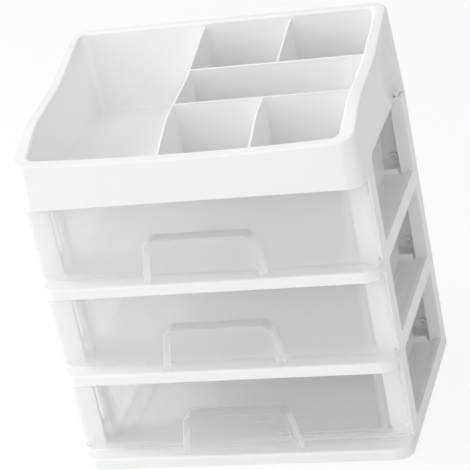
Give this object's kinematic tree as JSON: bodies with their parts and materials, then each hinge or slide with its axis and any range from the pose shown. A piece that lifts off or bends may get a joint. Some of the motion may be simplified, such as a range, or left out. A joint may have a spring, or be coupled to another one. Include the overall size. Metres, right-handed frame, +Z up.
{
  "type": "desk drawer organizer",
  "caption": "Free-standing desk organizer: clear drawers with arched pulls in a white open-sided frame, under a divided open tray with a wavy rim.",
  "frame": {"origin": "on the desk, under the middle of the organizer", "axes": "+Z up, the drawers open towards -Y, +X to the right of someone who faces the drawers"},
  "size_m": [0.245, 0.172, 0.2759],
  "materials": {
    "white_plastic": "satin injection-moulded white",
    "clear_plastic": "clear, polished",
    "foot_rubber": "matt pale grey"
  },
  "bodies": {
    "organizer_frame": {"base_shelf": "white_plastic", "middle_shelf": "white_plastic", "upper_shelf": "white_plastic", "left_side_frame": "white_plastic", "right_side_frame": "white_plastic", "lower_back_panel": "white_plastic", "middle_back_panel": "white_plastic", "upper_back_panel": "white_plastic", "top_tray": "white_plastic", "lower_front_lock_pins": "white_plastic", "lower_rear_lock_pins": "white_plastic", "middle_front_lock_pins": "white_plastic", "middle_rear_lock_pins": "white_plastic", "upper_front_lock_pins": "white_plastic", "upper_rear_lock_pins": "white_plastic", "front_left_foot": "foot_rubber", "front_right_foot": "foot_rubber", "rear_left_foot": "foot_rubber", "rear_right_foot": "foot_rubber"},
    "lower_drawer_body": {"lower_drawer": "clear_plastic"},
    "middle_drawer_body": {"middle_drawer": "clear_plastic"},
    "upper_drawer_body": {"upper_drawer": "clear_plastic"}
  },
  "joints": [
    {"name": "lower_drawer_slide", "type": "slide", "parent": "organizer_frame", "child": "lower_drawer_body", "axis": [0, -1, 0], "range_m": [0, 0.11]},
    {"name": "middle_drawer_slide", "type": "slide", "parent": "organizer_frame", "child": "middle_drawer_body", "axis": [0, -1, 0], "range_m": [0, 0.11]},
    {"name": "upper_drawer_slide", "type": "slide", "parent": "organizer_frame", "child": "upper_drawer_body", "axis": [0, -1, 0], "range_m": [0, 0.11]}
  ]
}
